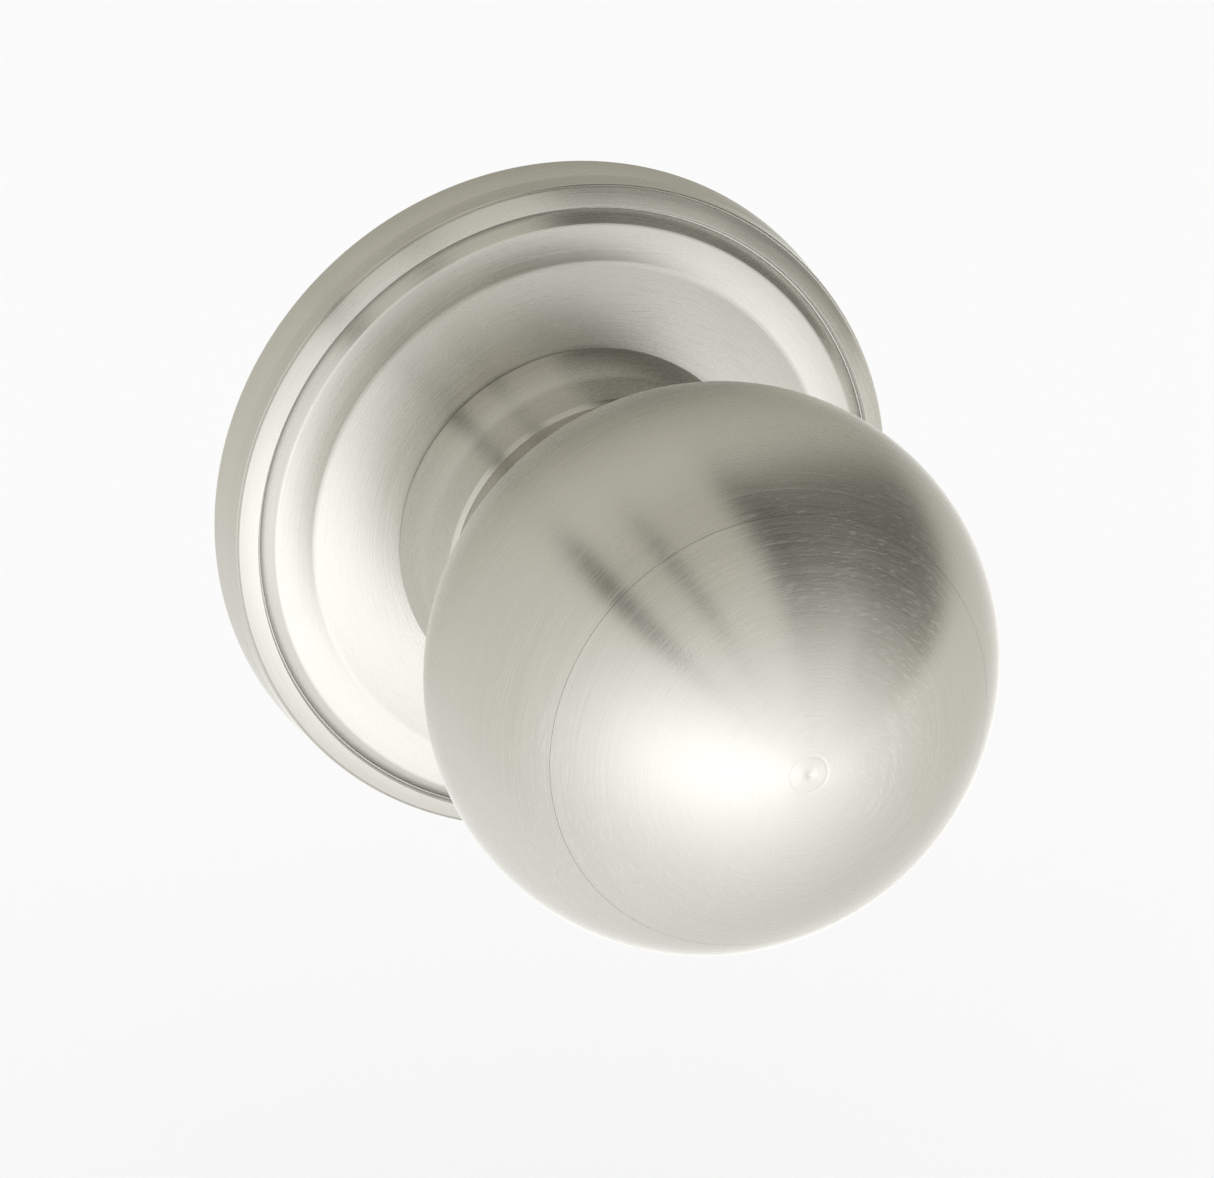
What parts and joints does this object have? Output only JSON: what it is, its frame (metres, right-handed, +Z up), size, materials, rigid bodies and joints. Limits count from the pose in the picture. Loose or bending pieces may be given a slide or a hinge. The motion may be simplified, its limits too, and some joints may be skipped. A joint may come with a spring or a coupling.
{
  "type": "passage door knob, outside trim",
  "caption": "Round door knob on a stepped round rose, satin stainless, with a sprung turning chassis, a square latch spindle and threaded mounting posts behind it.",
  "frame": {"origin": "centre of the rose's back, on the door face, where the knob's axis meets the door", "axes": "+Y along the knob's axis into the door, so the knob points along -Y; +Z up; +X to the right of a person facing the knob"},
  "size_m": [0.0666, 0.1117, 0.0666],
  "materials": {
    "satin_stainless": "satin, turned in fine rings about the knob's axis",
    "zinc_casting": "as cast, matt grey",
    "plated_steel": "zinc plated",
    "machined_steel": "turned",
    "spring_steel": "drawn wire, oiled",
    "spring_strip": "tempered strip",
    "acetal": "moulded, off-white",
    "black_nylon": "moulded, black"
  },
  "bodies": {
    "door_side": {"rose": "satin_stainless", "rose_clips": "spring_strip", "clip_rivets": "plated_steel", "chassis_plate": "plated_steel", "sleeve_bushing": "acetal", "thrust_washer": "black_nylon", "wave_washer": "spring_strip", "return_spring": "spring_steel", "spring_housing": "zinc_casting", "housing_screws": "plated_steel", "mounting_posts": "plated_steel"},
    "knob": {"knob_cap": "satin_stainless", "knob_shell": "satin_stainless", "knob_neck": "satin_stainless", "knob_core": "zinc_casting", "drive_sleeve": "machined_steel", "drive_cam": "machined_steel", "spindle": "plated_steel", "spindle_pin": "spring_strip", "sleeve_circlip": "spring_strip", "catch_spring": "spring_steel"},
    "catch": {"knob_catch": "machined_steel"}
  },
  "joints": [
    {"name": "knob_turn", "type": "hinge", "parent": "door_side", "child": "knob", "pos_m": [0, 0, 0], "axis": [0, -1, 0], "range_deg": [-60, 60], "stiffness_Nm_per_rad": 0.35, "deforming": ["return_spring"]},
    {"name": "knob_catch_press", "type": "slide", "parent": "knob", "child": "catch", "axis": [0, 0, 1], "range_m": [0, 0.0026], "stiffness_N_per_m": 800, "springref_m": -0.002, "deforming": ["catch_spring"]}
  ]
}
